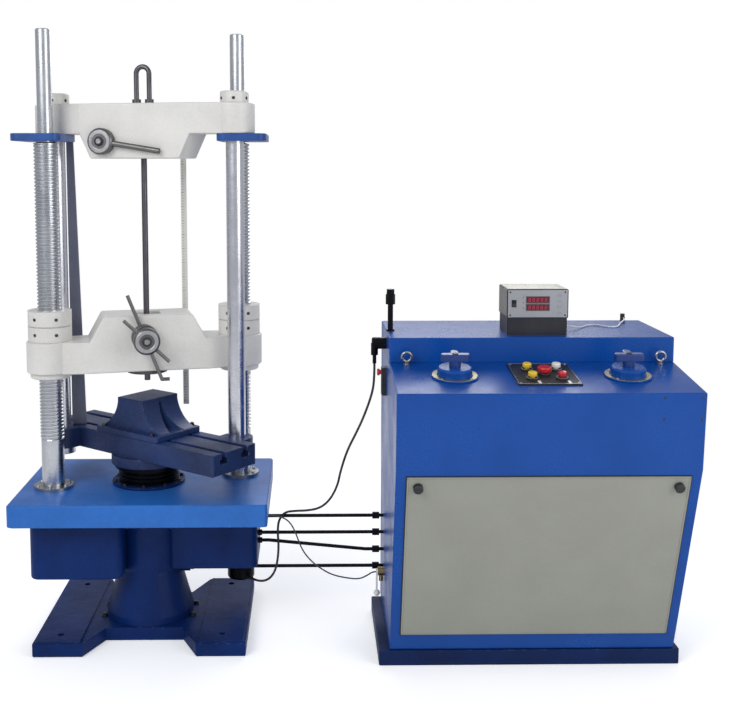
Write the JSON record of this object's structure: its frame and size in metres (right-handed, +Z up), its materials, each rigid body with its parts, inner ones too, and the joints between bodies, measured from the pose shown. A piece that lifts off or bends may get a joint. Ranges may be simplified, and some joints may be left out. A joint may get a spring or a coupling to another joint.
{
  "type": "universal testing machine",
  "caption": "Hydraulic tension and compression testing machine with a column loading unit, a movable crosshead on twin screws and a sloped control console joined by pipes",
  "frame": {"origin": "on the floor under the middle of the whole machine's bounding box", "axes": "+X runs from the loading unit to the console, the operator stands at -Y, +Z is up"},
  "size_m": [2.191, 0.8946, 2.065],
  "materials": {
    "dark_blue_paint": "satin enamel on castings",
    "mid_blue_paint": "satin enamel",
    "cabinet_blue_paint": "satin enamel on sheet steel",
    "white_paint": "satin enamel",
    "polished_steel": "polished",
    "bright_steel": "machined",
    "dark_steel": "blackened",
    "jaw_steel": "hardened",
    "cast_black": "oiled",
    "panel_grey": "satin enamel",
    "plinth_black": "satin enamel",
    "strip_pale": "anodised",
    "black_plastic": "matte",
    "blue_plastic": "gloss",
    "red_plastic": "gloss",
    "yellow_plastic": "gloss",
    "white_plastic": "gloss",
    "display_silver": "satin, with dark red windows",
    "brass": "machined",
    "cable_black": "matte",
    "cable_white": "matte"
  },
  "bodies": {
    "frame": {"base_casting": "dark_blue_paint", "ram_cylinder": "mid_blue_paint", "table_plate": "mid_blue_paint", "drive_housing": "dark_blue_paint", "screw_bearings": "bright_steel", "drive_motor": "cast_black", "drive_chain": "dark_steel", "hydraulic_pipes": "dark_steel", "console_cabinet": "cabinet_blue_paint", "console_plinth": "plinth_black", "service_panel": "panel_grey", "raised_box": "cabinet_blue_paint", "valve_bodies": "bright_steel", "button_plate": "black_plastic", "eyebolts": "polished_steel", "indicator_case": "black_plastic", "indicator_face": "display_silver", "pressure_fittings": "brass", "side_switch_box": "black_plastic", "drain_cock": "brass", "power_pack": "cast_black", "cable_glands": "black_plastic", "signal_cable": "cable_black", "motor_cable": "cable_black", "indicator_lead": "cable_white"},
    "ram_frame": {"ram": "cast_black", "lower_table": "dark_blue_paint", "straight_columns": "polished_steel", "upper_crosshead": "white_paint", "column_collars": "white_paint", "lifting_loop": "dark_steel", "tie_plates": "mid_blue_paint", "scale_strip": "strip_pale", "guard_plate": "mid_blue_paint", "bending_block": "mid_blue_paint", "test_bar": "dark_steel"},
    "crosshead": {"lower_crosshead": "white_paint", "screw_nuts": "white_paint", "platen": "dark_steel"},
    "front_screw": {"front_screw": "bright_steel"},
    "rear_screw": {"rear_screw": "bright_steel"},
    "upper_jaw_handle": {"upper_jaw_handle": "bright_steel"},
    "lower_jaw_handle": {"lower_jaw_handle": "bright_steel"},
    "upper_jaw_left": {"upper_jaw_left": "jaw_steel"},
    "upper_jaw_right": {"upper_jaw_right": "jaw_steel"},
    "lower_jaw_left": {"lower_jaw_left": "jaw_steel"},
    "lower_jaw_right": {"lower_jaw_right": "jaw_steel"},
    "valve_knob_left": {"valve_knob_left": "blue_plastic"},
    "valve_knob_right": {"valve_knob_right": "blue_plastic"},
    "panel_knob_left": {"panel_knob_left": "black_plastic"},
    "panel_knob_right": {"panel_knob_right": "black_plastic"},
    "pump_start_button": {"pump_start_button": "yellow_plastic"},
    "pump_stop_button": {"pump_stop_button": "yellow_plastic"},
    "emergency_button": {"emergency_button": "red_plastic"},
    "crosshead_up_button": {"crosshead_up_button": "white_plastic"},
    "crosshead_down_button": {"crosshead_down_button": "red_plastic"},
    "rocker_switch": {"rocker_switch": "black_plastic"},
    "side_button": {"side_button": "red_plastic"},
    "cock_lever": {"cock_lever": "white_plastic"}
  },
  "joints": [
    {"name": "ram_lift", "type": "slide", "parent": "frame", "child": "ram_frame", "axis": [0, 0, 1], "range_m": [0, 0.07]},
    {"name": "front_screw_turn", "type": "hinge", "parent": "frame", "child": "front_screw", "pos_m": [-0.9855, 0.04267, 0.515], "axis": [0, 0, 1], "range_deg": [-300, 12600]},
    {"name": "rear_screw_turn", "type": "hinge", "parent": "frame", "child": "rear_screw", "pos_m": [-0.3555, 0.19267, 0.515], "axis": [0, 0, 1], "range_deg": [-301, 12601]},
    {"name": "crosshead_travel", "type": "slide", "parent": "frame", "child": "crosshead", "axis": [0, 0, 1], "range_m": [-0.0105, 0.4205]},
    {"name": "upper_jaw_turn", "type": "hinge", "parent": "ram_frame", "child": "upper_jaw_handle", "pos_m": [-0.79789, 0.05754, 1.696], "axis": [-0.2316, -0.9728, 0], "range_deg": [0, 90]},
    {"name": "lower_jaw_turn", "type": "hinge", "parent": "crosshead", "child": "lower_jaw_handle", "pos_m": [-0.6654, 0.03151, 1.038], "axis": [0.2316, -0.9728, 0], "range_deg": [0, 90]},
    {"name": "upper_jaw_left_slide", "type": "slide", "parent": "ram_frame", "child": "upper_jaw_left", "axis": [-0.1522, 0.0362, 0.9877], "range_m": [0, 0.0305]},
    {"name": "lower_jaw_left_slide", "type": "slide", "parent": "crosshead", "child": "lower_jaw_left", "axis": [-0.1522, -0.0362, -0.9877], "range_m": [0, 0.0305]},
    {"name": "valve_left_turn", "type": "hinge", "parent": "frame", "child": "valve_knob_left", "pos_m": [0.3445, -0.28751, 0.96345], "axis": [0, -0.1208, 0.9927], "range_deg": [0, 720]},
    {"name": "panel_knob_left_turn", "type": "hinge", "parent": "frame", "child": "panel_knob_left", "pos_m": [0.2195, -0.41572, 0.65301], "axis": [0, -0.9525, -0.3044], "range_deg": [0, 720]},
    {"name": "upper_jaw_right_slide", "type": "slide", "parent": "ram_frame", "child": "upper_jaw_right", "axis": [0.1522, -0.0362, 0.9877], "range_m": [0, 0.0305]},
    {"name": "lower_jaw_right_slide", "type": "slide", "parent": "crosshead", "child": "lower_jaw_right", "axis": [0.1522, 0.0362, -0.9877], "range_m": [0, 0.0305]},
    {"name": "valve_right_turn", "type": "hinge", "parent": "frame", "child": "valve_knob_right", "pos_m": [0.8845, -0.28751, 0.96345], "axis": [0, -0.1208, 0.9927], "range_deg": [0, 720]},
    {"name": "panel_knob_right_turn", "type": "hinge", "parent": "frame", "child": "panel_knob_right", "pos_m": [1.0095, -0.41572, 0.65301], "axis": [0, -0.9525, -0.3044], "range_deg": [0, 720]},
    {"name": "pump_start_button_press", "type": "slide", "parent": "frame", "child": "pump_start_button", "axis": [0, 0.1208, -0.9927], "range_m": [0, 0.005], "stiffness_N_per_m": 800, "springref_m": -0.003},
    {"name": "pump_stop_button_press", "type": "slide", "parent": "frame", "child": "pump_stop_button", "axis": [0, 0.1208, -0.9927], "range_m": [0, 0.005], "stiffness_N_per_m": 800, "springref_m": -0.003},
    {"name": "emergency_button_press", "type": "slide", "parent": "frame", "child": "emergency_button", "axis": [0, 0.1208, -0.9927], "range_m": [0, 0.005], "stiffness_N_per_m": 1000, "springref_m": -0.003},
    {"name": "crosshead_up_button_press", "type": "slide", "parent": "frame", "child": "crosshead_up_button", "axis": [0, 0.1208, -0.9927], "range_m": [0, 0.005], "stiffness_N_per_m": 800, "springref_m": -0.003},
    {"name": "crosshead_down_button_press", "type": "slide", "parent": "frame", "child": "crosshead_down_button", "axis": [0, 0.1208, -0.9927], "range_m": [0, 0.005], "stiffness_N_per_m": 800, "springref_m": -0.003},
    {"name": "rocker_tilt", "type": "hinge", "parent": "frame", "child": "rocker_switch", "pos_m": [0.5625, -0.08633, 1.166], "axis": [1, 0, 0], "range_deg": [-10, 10]},
    {"name": "side_button_press", "type": "slide", "parent": "frame", "child": "side_button", "axis": [1, 0, 0], "range_m": [0, 0.005], "stiffness_N_per_m": 800, "springref_m": -0.003},
    {"name": "cock_turn", "type": "hinge", "parent": "frame", "child": "cock_lever", "pos_m": [0.1295, 0.04067, 0.212], "axis": [-1, 0, 0], "range_deg": [0, 90]}
  ],
  "couplings": [
    {"joint": "rear_screw_turn", "follows": "front_screw_turn", "ratio": 1},
    {"joint": "crosshead_travel", "follows": "front_screw_turn", "m_per_rad": 0.0019099},
    {"joint": "upper_jaw_left_slide", "follows": "upper_jaw_turn", "m_per_rad": 0.019099},
    {"joint": "upper_jaw_right_slide", "follows": "upper_jaw_turn", "m_per_rad": 0.019099},
    {"joint": "lower_jaw_left_slide", "follows": "lower_jaw_turn", "m_per_rad": 0.019099},
    {"joint": "lower_jaw_right_slide", "follows": "lower_jaw_turn", "m_per_rad": 0.019099}
  ]
}
